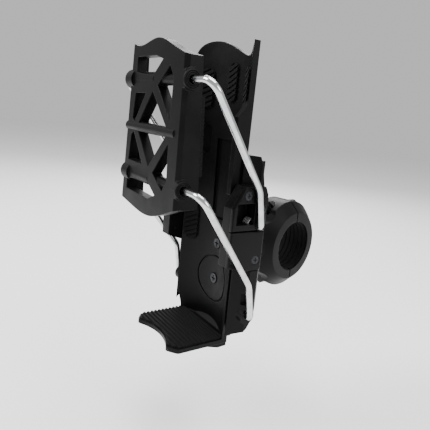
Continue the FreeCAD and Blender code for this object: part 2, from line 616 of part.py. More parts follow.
def torsion_spring():
    """Close-wound coil round the right upper pivot, drawn as touching turns."""
    x0 = SIDE_OUT - SPRING_LEN - SPRING_CLEAR / 2 + SPRING_WIRE / 2
    turns = []
    for i in range(SPRING_TURNS):
        centre = V(x0 + i * SPRING_PITCH, PIVOT_Y, UPPER_PIVOT_Z)
        turns.append(Part.makeTorus(SPRING_R, SPRING_WIRE / 2, centre, V(1, 0, 0)))
    return turns[0].fuse(turns[1:])


# ---- linkage ------------------------------------------------------------------------------
def wire_path(pivot_z):
    """Centre line of a bent wire: hooks in the cheeks, legs and a crossbar through the jaw."""
    boss_z = pivot_z + BOSS_DZ
    knee = (PIVOT_Y + KNEE_DY, pivot_z + KNEE_DZ)
    right = [V(HOOK_END_X, PIVOT_Y, pivot_z), V(LEG_X, PIVOT_Y, pivot_z), V(LEG_X, knee[0], knee[1]),
             V(CORNER_X, BOSS_Y, boss_z), V(0, BOSS_Y, boss_z)]
    left = [V(-p.x, p.y, p.z) for p in reversed(right[:-1])]
    points = right[:-1] + left
    radii = [BEND_REAR, BEND_KNEE, BEND_FRONT, BEND_FRONT, BEND_KNEE, BEND_REAR]
    edges = []
    last = points[0]
    for i, radius in enumerate(radii):
        a, b, c = points[i], points[i + 1], points[i + 2]
        u, w = (a - b).normalize(), (c - b).normalize()
        half = math.acos(max(-1.0, min(1.0, u.dot(w)))) / 2
        cut = radius / math.tan(half)
        p, q = b + u * cut, b + w * cut
        centre = b + (u + w).normalize() * (radius / math.sin(half))
        mid = centre + (b - centre).normalize() * radius
        edges.append(Part.makeLine(last, p))
        edges.append(Part.Arc(p, mid, q).toShape())
        last = q
    edges.append(Part.makeLine(last, points[-1]))
    return Part.Wire(edges)


def wire_link(pivot_z):
    """One polished wire with chamfered ends."""
    path = wire_path(pivot_z)
    profile = Part.Wire(Part.makeCircle(ROD_R, V(HOOK_END_X, PIVOT_Y, pivot_z), V(1, 0, 0)))
    return path.makePipeShell([profile], True, False)


# ---- jaw ----------------------------------------------------------------------------------
def left_width(z):
    """Half width of the jaw on its leaning left side."""
    return JAW_LEFT_W - JAW_LEAN * (z - NODE_Z[1])


def jaw_outline():
    """Front view of the jaw: waved top and bottom edges."""
    w, top, low = JAW_HALF_W + 4, JAW_TOP, JAW_BOTTOM
    upper = Part.BSplineCurve()
    upper.interpolate([V(-w, 0, top + 0.5), V(-w + 6, 0, top), V(-w * 0.5, 0, top - 3.2), V(w * 0.1, 0, top - 0.5),
                       V(w * 0.55, 0, top - 5), V(w, 0, top - 10)])
    lower = Part.BSplineCurve()
    lower.interpolate([V(w, 0, low + 10.5), V(w * 0.6, 0, low + 5), V(w * 0.15, 0, low), V(-w * 0.35, 0, low + 0.6),
                       V(-w, 0, low + 4)])
    wire = Part.Wire([upper.toShape(), Part.makeLine(V(w, 0, top - 10), V(w, 0, low + 10.5)), lower.toShape(),
                      Part.makeLine(V(-w, 0, low + 4), V(-w, 0, top + 0.5))])
    face = Part.Face(wire)
    face.translate(V(0, -200, 0))
    return face.extrude(V(0, 400, 0))


def lattice_window(points):
    """Opening between the bars: the outline is pulled in by half a bar."""
    wire = Part.makePolygon([V(x, 0, z) for x, z in points] + [V(points[0][0], 0, points[0][1])])
    face = Part.Face(wire.makeOffset2D(-RIB_W / 2))
    face.translate(V(0, JAW_FRONT_Y - 20, 0))
    return face.extrude(V(0, 40, 0))


def lattice_windows():
    """All the openings of the lattice: two X-shaped crossings between a frame."""
    left, middle, right = NODE_X
    high, mid, low = NODE_Z
    roof, floor = JAW_TOP - 6.5, JAW_BOTTOM + 6.5
    rim = 5.5
    far_top, far_mid, far_low = (rim - left_width(z) for z in (roof, mid, floor))
    above, under = UPPER_BOSS_Z + 1.5, LOWER_BOSS_Z - 1.5
    cells = [
        [(middle, high + 2), (far_top, above), (far_top, roof), (middle + 2, roof), (middle + 14, roof - 3)],
        [(middle + 2, high), (middle + 17, roof - 4), (right + 1, high + 4), (right, mid)],
        [(middle, high), (right, mid), (left, mid)],
        [(middle - 3, high - 2), (left, mid), (far_mid, mid + 3), (far_top, UPPER_BOSS_Z - 5)],
        [(middle, low), (left, mid), (right, mid)],
        [(middle + 2, low), (right, mid), (right + 1, low - 2), (middle + 17, floor + 6)],
        [(middle, low - 2), (middle + 14, floor + 5), (middle + 2, floor), (far_low, floor + 1), (far_low, under)],
        [(middle - 3, low + 1), (far_low, LOWER_BOSS_Z + 5), (far_mid, mid - 3), (left, mid)],
    ]
    return [lattice_window(cell) for cell in cells]


def jaw_section(z, extra):
    """Plan section of the jaw: flat front with side walls swept back."""
    w, v, f = JAW_HALF_W, left_width(z), JAW_FRONT_Y
    back, thick, bevel = f + JAW_T, JAW_SIDE_T, JAW_EDGE
    side = JAW_SIDE_Y - JAW_SIDE_LEAN * (z - NODE_Z[1]) + extra
    pts = [(bevel - v, f), (w - bevel, f), (w, f + bevel), (w, side), (w - thick, side), (w - thick, back + 2),
           (w - thick - 2, back), (thick + 2 - v, back), (thick - v, back + 2), (thick - v, side), (-v, side),
           (-v, f + bevel)]
    vecs = [V(x, y, z) for x, y in pts]
    return Part.makePolygon(vecs + [vecs[0]])


def jaw_blank(extra):
    """Jaw before it is pierced; extra lengthens the side walls to the rear."""
    return Part.makeLoft([jaw_section(JAW_BOTTOM - 5, extra), jaw_section(JAW_TOP + 5, extra)], True, True)


def jaw_bore(z, radius):
    """Bore along a crossbar."""
    return cyl(radius, (-99, BOSS_Y, z), (99, BOSS_Y, z))


def boss_ends():
    """Side and outer end of the left and the right boss."""
    return ((-1, -BOSS_LEFT), (1, BOSS_RIGHT))


def jaw_frame():
    """Lattice jaw with tubes and bosses for the two crossbars."""
    body = jaw_blank(0).common(jaw_outline())
    for window in lattice_windows():
        body = body.cut(window)
    left, mid, right = NODE_X[0], NODE_Z[1], NODE_X[2]
    extra = [cyl(2.7, (0.5 - left_width(mid), JAW_FRONT_Y + 2.0, mid), (right + 3, JAW_FRONT_Y + 2.0, mid))]
    for z in (UPPER_BOSS_Z, LOWER_BOSS_Z):
        extra.append(cyl(TUBE_R, (1 - left_width(z), BOSS_Y, z), (NODE_X[1], BOSS_Y, z)))
        extra.append(cyl(SLEEVE_R, (NODE_X[1], BOSS_Y, z), (JAW_HALF_W - 1, BOSS_Y, z)))
        for side, end in boss_ends():
            boss = cyl(BOSS_R, (end - side * 8, BOSS_Y, z), (end, BOSS_Y, z))
            extra.append(boss if side < 0 else boss.common(box(-99, 99, JAW_FRONT_Y, 99, -99, 199)))
    body = body.fuse(extra)
    for z, clear in ((UPPER_BOSS_Z, ROD_CLEAR), (LOWER_BOSS_Z, ROD_CLEAR + LOOP_CLEAR)):
        body = body.cut(jaw_bore(z, ROD_R + clear))
        for side, end in boss_ends():
            start = (end - side * BUSH_LEN, BOSS_Y, z)
            body = body.cut(cyl(ROD_R + clear + BUSH_T, start, (end + side, BOSS_Y, z)))
            body = body.cut(cyl(BUSH_HEAD_R + FASTENER_CLEAR, (end, BOSS_Y, z), (end + side * 9, BOSS_Y, z)))
    return body.removeSplitter()


def jaw_pad(side):
    """Soft cap on the rear edge of one side wall."""
    cap = jaw_blank(JAW_PAD_T).cut(jaw_blank(0))
    for z in (UPPER_BOSS_Z, LOWER_BOSS_Z):
        cap = cap.cut(jaw_bore(z, BOSS_R + FASTENER_CLEAR))
    x0, x1 = outward(side, 0, 99)
    low, high = LOWER_BOSS_Z + BOSS_R + 1, UPPER_BOSS_Z - BOSS_R - 1
    return cap.common(box(x0, x1, -200, 0, low, high))


def jaw_bushes(z, clear):
    """Pair of flanged bushes in the jaw's bosses."""
    out = []
    for side, end in boss_ends():
        sleeve = cyl(ROD_R + clear + BUSH_T, (end - side * BUSH_LEN, BOSS_Y, z), (end, BOSS_Y, z))
        head = cyl(BUSH_HEAD_R, (end, BOSS_Y, z), (end + side * BUSH_HEAD_T, BOSS_Y, z))
        out.append(sleeve.fuse(head).cut(jaw_bore(z, ROD_R + clear)).removeSplitter())
    return Part.Compound(out)


def slid(shape):
    """Put a jaw piece where it sits along the crossbars."""
    out = shape.copy()
    out.translate(V(JAW_X, 0, 0))
    return out


# ---- write the nodes ----------------------------------------------------------------------
export("clamp_front", clamp_front())
export("clamp_rear", clamp_rear())
export("clamp_liner_front", liner_half(-1))
export("clamp_liner_rear", liner_half(1))
export("clamp_bolts", clamp_bolts())
export("clamp_nuts", clamp_nuts())
export("ball_stud", ball_stud())
export("friction_washer", friction_washer())
export("stud_nut", stud_nut())

upper_cover, lower_cover = side_cover(True), side_cover(False)
spring = torsion_spring()
screws = cover_screws()
holder = {
    "socket_collar": socket_collar(),
    "back_plate": back_plate(),
    "grip_strips_upper": grip_strips([s for s in STRIPS if s[1] > 50]),
    "grip_strips_lower": grip_strips([s for s in STRIPS if s[1] < 50]),
    "ledge_pad": ledge_pad(),
    "plate_screws": plate_screws(),
    "rear_housing": rear_housing(),
    "upper_cover_right": upper_cover,
    "upper_cover_left": mirrored(upper_cover),
    "lower_cover_right": lower_cover,
    "lower_cover_left": mirrored(lower_cover),
    "cover_screws": both(screws),
    "torsion_spring_right": spring,
    "torsion_spring_left": mirrored(spring),
    "upper_wire": wire_link(UPPER_PIVOT_Z),
    "lower_wire": wire_link(LOWER_PIVOT_Z),
    "jaw_frame": slid(jaw_frame()),
    "jaw_pad_right": slid(jaw_pad(1)),
    "jaw_pad_left": slid(jaw_pad(-1)),
    "jaw_bushes_upper": slid(jaw_bushes(UPPER_BOSS_Z, ROD_CLEAR)),
    "jaw_bushes_lower": slid(jaw_bushes(LOWER_BOSS_Z, ROD_CLEAR + LOOP_CLEAR)),
}
for name, shape in holder.items():
    export(name, turned(shape))
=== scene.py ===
"""Looks of a handlebar mount with a sprung lattice jaw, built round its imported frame.

Every rigid piece is a welded, smooth-shaded copy of its CAD node, dressed in a procedural finish.
Sizes are in metres unless a name ends in _mm.
"""

import json
import logging
import math
from collections.abc import Callable, Iterable
from dataclasses import dataclass, field
from enum import Enum
from typing import Any

import bmesh
import bpy
from mathutils import Matrix, Vector

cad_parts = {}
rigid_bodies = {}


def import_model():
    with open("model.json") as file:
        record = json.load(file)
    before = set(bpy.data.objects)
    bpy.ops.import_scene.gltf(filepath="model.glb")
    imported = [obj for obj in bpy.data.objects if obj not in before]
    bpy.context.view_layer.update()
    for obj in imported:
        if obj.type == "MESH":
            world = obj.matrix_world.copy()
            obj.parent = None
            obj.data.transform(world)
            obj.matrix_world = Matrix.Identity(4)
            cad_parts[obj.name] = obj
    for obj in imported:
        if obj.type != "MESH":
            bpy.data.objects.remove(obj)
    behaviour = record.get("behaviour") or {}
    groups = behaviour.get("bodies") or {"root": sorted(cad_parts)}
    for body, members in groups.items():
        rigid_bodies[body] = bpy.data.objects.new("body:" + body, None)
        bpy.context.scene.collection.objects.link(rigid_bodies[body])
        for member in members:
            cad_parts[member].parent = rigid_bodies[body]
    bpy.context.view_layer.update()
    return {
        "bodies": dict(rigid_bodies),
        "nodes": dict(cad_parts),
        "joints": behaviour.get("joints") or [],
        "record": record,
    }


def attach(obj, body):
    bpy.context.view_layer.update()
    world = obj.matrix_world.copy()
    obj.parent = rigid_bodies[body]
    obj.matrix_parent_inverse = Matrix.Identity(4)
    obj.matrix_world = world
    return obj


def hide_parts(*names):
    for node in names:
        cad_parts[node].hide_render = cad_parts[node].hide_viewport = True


LOG = logging.getLogger("handlebar_mount")
MM = 0.001


def linear(hex_colour: str) -> tuple[float, float, float, float]:
    """Turn an sRGB hex colour into linear RGBA.

    Args:
        hex_colour: six hex digits, such as "1b1c1e".

    Returns:
        Linear red, green and blue, with an alpha of one.
    """
    parts = [int(hex_colour[i:i + 2], 16) / 255 for i in (0, 2, 4)]
    red, green, blue = (c / 12.92 if c <= 0.04045 else ((c + 0.055) / 1.055) ** 2.4 for c in parts)
    return red, green, blue, 1.0


class Slot(Enum):
    """Material slots of the record."""

    MOULDING = "moulding"
    COVER = "cover"
    WIRE = "wire"
    RUBBER = "rubber"
    BUSH = "bush"
    FASTENER = "fastener"
    BALL = "ball"
    SPRING = "spring"


class Body(Enum):
    """Rigid bodies of the record."""

    CLAMP = "clamp"
    STUD = "stud"
    HOLDER = "holder"
    UPPER_LINK = "upper_link"
    LOWER_LINK = "lower_link"
    JAW = "jaw"


# ---- materials -----------------------------------------------------------------------------
def add_node(tree: bpy.types.NodeTree, kind: str, settings: dict[str, Any] | None = None,
             **inputs: Any) -> bpy.types.Node:
    """Add a shader node with its settings and links.

    Args:
        tree: node tree that gets the node.
        kind: Blender's node type name.
        settings: attributes set on the node itself.
        **inputs: socket names, with underscores for spaces, or iN for the socket with number N,
            to a value or an output socket.

    Returns:
        The new node.
    """
    node = tree.nodes.new(kind)
    for name, value in (settings or {}).items():
        setattr(node, name, value)
    for name, value in inputs.items():
        key = int(name[1:]) if name[0] == "i" and name[1:].isdigit() else name.replace("_", " ")
        if isinstance(value, bpy.types.NodeSocket):
            tree.links.new(value, node.inputs[key])
        else:
            node.inputs[key].default_value = value
    return node


@dataclass(frozen=True)
class Finish:
    """What every finish shares: a name and the steps that make its material."""

    name: str

    def material(self) -> bpy.types.Material:
        """Return the material, made once."""
        made = bpy.data.materials.get(self.name)
        if made is None:
            made = bpy.data.materials.new(self.name)
            made.use_nodes = True
            tree = made.node_tree
            tree.nodes.clear()
            shader = add_node(tree, "ShaderNodeBsdfPrincipled")
            out = add_node(tree, "ShaderNodeOutputMaterial")
            tree.links.new(shader.outputs["BSDF"], out.inputs["Surface"])
            self.dress(tree, shader)
        return made

    def dress(self, tree: bpy.types.NodeTree, shader: bpy.types.Node) -> None:
        """Set the shader up; each finish has its own way."""
        raise NotImplementedError

    @staticmethod
    def noise(tree: bpy.types.NodeTree, size_mm: float, detail: float = 3.0,
              stretch: tuple[float, float, float] = (1.0, 1.0, 1.0)) -> bpy.types.NodeSocket:
        """Noise on Object coordinates.

        Args:
            tree: node tree.
            size_mm: real size of a patch of the pattern.
            detail: octaves of finer noise.
            stretch: scale along each axis, to draw the pattern out.

        Returns:
            The noise's factor, from nought to one.
        """
        place = add_node(tree, "ShaderNodeTexCoord")
        mapping = add_node(tree, "ShaderNodeMapping", Vector=place.outputs["Object"], Scale=stretch)
        wave = add_node(tree, "ShaderNodeTexNoise", Vector=mapping.outputs["Vector"],
                        Scale=1.0 / (size_mm * MM), Detail=detail, Roughness=0.55)
        return wave.outputs["Fac"]

    @staticmethod
    def spread(tree: bpy.types.NodeTree, value: bpy.types.NodeSocket, low: float,
               high: float) -> bpy.types.NodeSocket:
        """Map the middle of a noise onto a range.

        Args:
            tree: node tree.
            value: noise factor.
            low: result where the noise is 0.3.
            high: result where the noise is 0.7.

        Returns:
            The mapped value.
        """
        node = add_node(tree, "ShaderNodeMapRange", Value=value, From_Min=0.3, From_Max=0.7,
                        To_Min=low, To_Max=high)
        return node.outputs["Result"]

    @staticmethod
    def blend(tree: bpy.types.NodeTree, factor: bpy.types.NodeSocket, first: Any,
              second: Any) -> bpy.types.NodeSocket:
        """Mix two colours by a factor.

        Args:
            tree: node tree.
            factor: nought for the first colour and one for the second.
            first: linear colour or socket.
            second: linear colour or socket.

        Returns:
            The mixed colour.
        """
        node = add_node(tree, "ShaderNodeMix", {"data_type": "RGBA"}, i0=factor, i6=first, i7=second)
        return node.outputs[2]

    @staticmethod
    def edge_mask(tree: bpy.types.NodeTree,
                  radius_mm: float) -> tuple[bpy.types.NodeSocket, bpy.types.NodeSocket]:
        """Rounded-edge normal, and how much the surface turns there.

        Args:
            tree: node tree.
            radius_mm: radius that every sharp edge is rounded to.

        Returns:
            The rounded normal, and a mask that is one on edges.
        """
        rounded = add_node(tree, "ShaderNodeBevel", {"samples": 6}, Radius=radius_mm * MM)
        flat = add_node(tree, "ShaderNodeNewGeometry")
        dot = add_node(tree, "ShaderNodeVectorMath", {"operation": "DOT_PRODUCT"},
                       i0=rounded.outputs["Normal"], i1=flat.outputs["Normal"])
        mask = add_node(tree, "ShaderNodeMapRange", Value=dot.outputs["Value"], From_Min=0.995, From_Max=0.86,
                        To_Min=0.0, To_Max=1.0)
        return rounded.outputs["Normal"], mask.outputs["Result"]


@dataclass(frozen=True)
class MouldedNylon(Finish):
    """Glass-filled nylon from a spark-eroded mould: satin black with a fine sandy grain."""

    colour: str = "070708"
    cloudy: str = "0c0c0d"
    worn: str = "1c1d1e"
    grain_mm: float = 0.45      # the real grain is about 0.1 mm; drawn coarser so that it shows
    rough: tuple[float, float] = (0.38, 0.5)
    edge_mm: float = 0.6
    relief_mm: float = 0.03
    gloss: float = 0.09         # the pits of an eroded skin trap part of the reflection

    def dress(self, tree: bpy.types.NodeTree, shader: bpy.types.Node) -> None:
        """Sandy bump, cloudy sheen from the mould and rubbed edges."""
        grain = self.noise(tree, self.grain_mm, 2.0)
        cloud = self.noise(tree, 9.0, 4.0)
        scuffs = self.noise(tree, 1.6, 6.0)
        normal, edges = self.edge_mask(tree, self.edge_mm)
        rubbed = add_node(tree, "ShaderNodeMath", {"operation": "MULTIPLY"}, i0=edges,
                          i1=self.spread(tree, scuffs, 0.1, 0.9)).outputs["Value"]
        base = self.blend(tree, self.spread(tree, cloud, 0.0, 1.0), linear(self.colour), linear(self.cloudy))
        tint = self.blend(tree, rubbed, base, linear(self.worn))
        rough = add_node(tree, "ShaderNodeMath", {"operation": "MULTIPLY_ADD"}, i0=edges, i1=-0.08,
                         i2=self.spread(tree, cloud, *self.rough)).outputs["Value"]
        bump = add_node(tree, "ShaderNodeBump", Height=grain, Distance=self.relief_mm * MM, Strength=0.55,
                        Normal=normal)
        tree.links.new(tint, shader.inputs["Base Color"])
        tree.links.new(rough, shader.inputs["Roughness"])
        tree.links.new(bump.outputs["Normal"], shader.inputs["Normal"])
        shader.inputs["IOR"].default_value = 1.53
        shader.inputs["Specular IOR Level"].default_value = self.gloss


@dataclass(frozen=True)
class MouldedRubber(Finish):
    """Compression-moulded rubber: near black, dull, with a bloom of dust in patches."""

    colour: str = "060606"
    dust: str = "141414"
    grain_mm: float = 0.6
    rough: tuple[float, float] = (0.62, 0.8)

    def dress(self, tree: bpy.types.NodeTree, shader: bpy.types.Node) -> None:
        """Matt skin with fine pores and dusty patches."""
        pores = self.noise(tree, self.grain_mm, 3.0)
        patches = self.noise(tree, 5.0, 4.0)
        normal, _ = self.edge_mask(tree, 0.35)
        tint = self.blend(tree, self.spread(tree, patches, 0.0, 0.6), linear(self.colour), linear(self.dust))
        bump = add_node(tree, "ShaderNodeBump", Height=pores, Distance=0.05 * MM, Strength=0.6, Normal=normal)
        tree.links.new(tint, shader.inputs["Base Color"])
        tree.links.new(self.spread(tree, patches, *self.rough), shader.inputs["Roughness"])
        skin = self.ribs(tree, bump.outputs["Normal"])
        tree.links.new(skin, shader.inputs["Normal"])
        shader.inputs["IOR"].default_value = 1.52
        shader.inputs["Specular IOR Level"].default_value = 0.08
        shader.inputs["Sheen Weight"].default_value = 0.03


    def ribs(self, tree: bpy.types.NodeTree, normal: bpy.types.NodeSocket) -> bpy.types.NodeSocket:
        """Return the normal as it is, since plain rubber has no ribs of its own."""
        return normal


@dataclass(frozen=True)
class RibbedRubber(MouldedRubber):
    """The same rubber from a mould with fine parallel grooves."""

    rib_mm: float = 1.6
    depth_mm: float = 0.25
    direction: str = "Z"

    def ribs(self, tree: bpy.types.NodeTree, normal: bpy.types.NodeSocket) -> bpy.types.NodeSocket:
        """Lay the grooves over the pores.

        Args:
            tree: node tree.
            normal: normal with the pores.

        Returns:
            The normal with grooves too.
        """
        place = add_node(tree, "ShaderNodeTexCoord")
        # the bands repeat every 2 pi / (20 x scale), which is set to one rib and its groove
        wave = add_node(tree, "ShaderNodeTexWave", {"bands_direction": self.direction},
                        Vector=place.outputs["Object"], Scale=math.pi / (10 * self.rib_mm * MM))
        bump = add_node(tree, "ShaderNodeBump", Height=wave.outputs["Fac"], Distance=self.depth_mm * MM,
                        Strength=0.8, Normal=normal)
        return bump.outputs["Normal"]


@dataclass(frozen=True)
class Metal(Finish):
    """Bare or treated metal with tooling lines or drawing lines and finger marks."""

    colour: str = "c9cacb"
    shade: str = "a9aaac"
    rough: tuple[float, float] = (0.12, 0.24)
    line_mm: float = 0.5
    relief_mm: float = 0.004
    stretch: tuple[float, float, float] = (1.0, 1.0, 1.0)

    def dress(self, tree: bpy.types.NodeTree, shader: bpy.types.Node) -> None:
        """Full metal, lines in the bump and smudges in the roughness."""
        lines = self.noise(tree, self.line_mm, 3.0, self.stretch)
        smudge = self.noise(tree, 4.0, 4.0)
        normal, _ = self.edge_mask(tree, 0.25)
        tint = self.blend(tree, self.spread(tree, smudge, 0.0, 1.0), linear(self.colour), linear(self.shade))
        bump = add_node(tree, "ShaderNodeBump", Height=lines, Distance=self.relief_mm * MM, Strength=0.5,
                        Normal=normal)
        tree.links.new(tint, shader.inputs["Base Color"])
        tree.links.new(self.spread(tree, smudge, *self.rough), shader.inputs["Roughness"])
        tree.links.new(bump.outputs["Normal"], shader.inputs["Normal"])
        shader.inputs["Metallic"].default_value = 1.0


NYLON = MouldedNylon("glass_filled_nylon_spark_eroded")
COVER_NYLON = MouldedNylon("nylon_cover_fine_grain", colour="09090a", grain_mm=0.35, rough=(0.32, 0.44))
ACETAL = MouldedNylon("acetal_bush_turned", colour="08080a", worn="202021", grain_mm=0.8, rough=(0.3, 0.42),
                      edge_mm=0.3, relief_mm=0.01)
GROMMET = MouldedRubber("grommet_rubber_moulded", colour="080808", dust="161616", rough=(0.45, 0.6))
RUBBER = MouldedRubber("ribbed_rubber_compression_moulded")
PAD_RUBBER = RibbedRubber("jaw_cap_rubber_ribbed")
STAINLESS = Metal("stainless_wire_polished", colour="d6d7d9", shade="b9babd")
BLACK_OXIDE = Metal("steel_black_oxide", colour="3a3b3d", shade="2b2c2e", rough=(0.3, 0.45), line_mm=0.4)
ANODISED = Metal("aluminium_anodised_turned", colour="8f9193", shade="7d7f82", rough=(0.25, 0.35),
                 line_mm=0.3)
SPRING_STEEL = Metal("spring_steel_bright", colour="b0b1b3", shade="8a8b8d", rough=(0.2, 0.35), line_mm=0.3)


# ---- shapes --------------------------------------------------------------------------------
def new_piece(name: str, mesh_of: Callable[[bmesh.types.BMesh], None], finish: Finish, body: Body,
              stands_for: Iterable[str] = (), smooth_deg: float = 30.0) -> bpy.types.Object:
    """Make a piece in place and hang it on its body.

    Args:
        name: name of the piece.
        mesh_of: fills an empty bmesh with the shape, in the row frame.
        finish: what it is made of.
        body: the body it moves with.
        stands_for: CAD nodes it stands for.
        smooth_deg: edges that turn less than this are shaded smooth.

    Returns:
        The new object.
    """
    shape = bmesh.new()
    mesh_of(shape)
    for face in shape.faces:
        face.smooth = True
    limit = math.radians(smooth_deg)
    for edge in shape.edges:
        edge.smooth = len(edge.link_faces) == 2 and edge.calc_face_angle(0.0) < limit
    mesh = bpy.data.meshes.new(name)
    shape.to_mesh(mesh)
    shape.free()
    piece = bpy.data.objects.new(name, mesh)
    bpy.context.scene.collection.objects.link(piece)
    piece.data.materials.append(finish.material())
    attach(piece, body.value)
    if stands_for:
        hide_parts(*stands_for)
    LOG.info("%s: %d faces on %s", name, len(mesh.polygons), body.value)
    return piece


def weld(shape: bmesh.types.BMesh, node: bpy.types.Object) -> None:
    """Add a CAD node's triangles to a bmesh and weld them.

    Args:
        shape: bmesh that gets the triangles.
        node: the CAD node's object.
    """
    shape.from_mesh(node.data)
    bmesh.ops.remove_doubles(shape, verts=shape.verts, dist=2e-6)


@dataclass
class SubAssembly:
    """A group of pieces on one body, each a welded copy of its node."""

    frame: dict[str, Any]
    body: Body
    parts: dict[str, tuple[Finish, Slot]] = field(default_factory=dict)

    def build(self) -> None:
        """Build every piece of the group."""
        for node, (finish, slot) in self.parts.items():
            self.skin(node, finish, slot)

    def skin(self, node: str, finish: Finish, slot: Slot, smooth_deg: float = 30.0) -> bpy.types.Object:
        """Dress one node.

        Args:
            node: CAD node.
            finish: what it is made of.
            slot: the record's slot; not used.
            smooth_deg: edges that turn less than this are shaded smooth.

        Returns:
            The piece that stands for the node.
        """
        source = self.frame["nodes"][node]
        return new_piece(f"{node}_skin", lambda shape: weld(shape, source), finish, self.body, [node],
                         smooth_deg)


@dataclass
class HandlebarClamp(SubAssembly):
    """Split ring with its rubber liner, bolts and nuts."""

    body: Body = Body.CLAMP
    parts: dict[str, tuple[Finish, Slot]] = field(default_factory=lambda: {
        "clamp_front": (NYLON, Slot.MOULDING),
        "clamp_rear": (NYLON, Slot.MOULDING),
        "clamp_bolts": (BLACK_OXIDE, Slot.FASTENER),
        "clamp_nuts": (BLACK_OXIDE, Slot.FASTENER),
    })
    half_length_mm: float = 13.0
    bore_radius_mm: float = 15.9
    wall_mm: float = 2.0
    tongue_mm: float = 1.2
    tongue_half_mm: float = 4.0
    groove_mm: float = 0.4
    grooves: int = 8
    split_mm: float = 1.0

    def build(self) -> None:
        """Build the halves and fasteners, then the grooved liners."""
        super().build()
        for node, side in (("clamp_liner_front", -1), ("clamp_liner_rear", 1)):
            new_piece(f"{node}_grooved", lambda shape: self.liner(shape, side), RUBBER, self.body,
                      [node])

    def liner(self, shape: bmesh.types.BMesh, side: int) -> None:
        """Sweep a liner's section round half the bore.

        Args:
            shape: bmesh that gets the liner.
            side: -1 in front of the bar and 1 behind it.
        """
        clear = math.asin(self.split_mm / 2 / self.bore_radius_mm)
        steps = 60
        rings = []
        for i in range(steps + 1):
            angle = clear + (math.pi - 2 * clear) * i / steps
            across = Vector((0.0, side * math.sin(angle), math.cos(angle)))
            rings.append([shape.verts.new(across * radius + Vector((along, 0.0, 0.0)))
                          for radius, along in self.liner_section()])
        count = len(rings[0])
        for first, second in zip(rings, rings[1:]):
            for i in range(count):
                j = (i + 1) % count
                shape.faces.new((first[i], first[j], second[j], second[i]))
        shape.faces.new(rings[0])
        shape.faces.new(list(reversed(rings[-1])))
        bmesh.ops.recalc_face_normals(shape, faces=shape.faces)

    def liner_section(self) -> list[tuple[float, float]]:
        """Outline of the liner's wall: grooves inside and a tongue outside.

        Returns:
            Points of (radius, distance along the bar), in metres.
        """
        end, bore = self.half_length_mm, self.bore_radius_mm
        outer, tongue = bore + self.wall_mm, bore + self.wall_mm + self.tongue_mm
        points = [(outer, -end), (outer, -self.tongue_half_mm), (tongue, -self.tongue_half_mm),
                  (tongue, self.tongue_half_mm), (outer, self.tongue_half_mm), (outer, end)]
        pitch, deep = 2 * end / self.grooves, bore + self.groove_mm
        for i in range(self.grooves):
            start = end - i * pitch
            points += [(bore, start), (bore, start - pitch * 0.6)]
            points += [(deep, start - pitch * 0.7), (deep, start - pitch * 0.9)]
        points.append((bore, -end))
        return [(radius * MM, along * MM) for radius, along in points]


@dataclass
class BallStud(SubAssembly):
    """Ball, its washer and its lock nut."""

    body: Body = Body.STUD
    parts: dict[str, tuple[Finish, Slot]] = field(default_factory=lambda: {
        "ball_stud": (ANODISED, Slot.BALL),
        "friction_washer": (ACETAL, Slot.BUSH),
        "stud_nut": (BLACK_OXIDE, Slot.FASTENER),
    })


@dataclass
class Holder(SubAssembly):
    """Back plate, ledge, housing, covers and locking collar."""

    body: Body = Body.HOLDER
    parts: dict[str, tuple[Finish, Slot]] = field(default_factory=lambda: {
        "socket_collar": (NYLON, Slot.MOULDING),
        "rear_housing": (NYLON, Slot.MOULDING),
        "back_plate": (NYLON, Slot.MOULDING),
        "grip_strips_upper": (RUBBER, Slot.RUBBER),
        "grip_strips_lower": (RUBBER, Slot.RUBBER),
        "ledge_pad": (RUBBER, Slot.RUBBER),
        "plate_screws": (BLACK_OXIDE, Slot.FASTENER),
        "upper_cover_left": (COVER_NYLON, Slot.COVER),
        "upper_cover_right": (COVER_NYLON, Slot.COVER),
        "lower_cover_left": (COVER_NYLON, Slot.COVER),
        "lower_cover_right": (COVER_NYLON, Slot.COVER),
        "cover_screws": (BLACK_OXIDE, Slot.FASTENER),
        "torsion_spring_left": (SPRING_STEEL, Slot.SPRING),
        "torsion_spring_right": (SPRING_STEEL, Slot.SPRING),
    })


@dataclass
class WireLink(SubAssembly):
    """One bent wire of the parallel linkage."""

    node: str = "upper_wire"

    def __post_init__(self) -> None:
        """List the one piece."""
        self.parts = {self.node: (STAINLESS, Slot.WIRE)}


def lathe(shape: bmesh.types.BMesh, outline: list[tuple[float, float]], start: Vector, axis: Vector,
          steps: int = 64) -> None:
    """Turn a closed outline round an axis.

    Args:
        shape: bmesh that gets the ring.
        outline: closed run of (radius, distance along the axis) points.
        start: point where the distance is nought.
        axis: unit vector along the axis.
        steps: segments round the ring.
    """
    across = axis.orthogonal().normalized()
    verts = [shape.verts.new(start + across * radius + axis * along) for radius, along in outline]
    edges = [shape.edges.new((verts[i], verts[(i + 1) % len(verts)])) for i in range(len(verts))]
    bmesh.ops.spin(shape, geom=verts + edges, cent=start, axis=axis, angle=2 * math.pi, steps=steps,
                   use_merge=True)
    bmesh.ops.remove_doubles(shape, verts=shape.verts, dist=1e-7)
    bmesh.ops.recalc_face_normals(shape, faces=shape.faces)


def islands(node: bpy.types.Object) -> list[tuple[Vector, Vector]]:
    """Boxes of a node's separate solids.

    Args:
        node: the CAD node's object.

    Returns:
        Lowest and highest corner of each solid.
    """
    shape = bmesh.new()
    weld(shape, node)
    left = set(shape.verts)
    boxes = []
    while left:
        stack = [left.pop()]
        group = []
        while stack:
            vert = stack.pop()
            group.append(vert.co.copy())
            for edge in vert.link_edges:
                other = edge.other_vert(vert)
                if other in left:
                    left.remove(other)
                    stack.append(other)
        boxes.append((Vector(map(min, zip(*group))), Vector(map(max, zip(*group)))))
    shape.free()
    return boxes


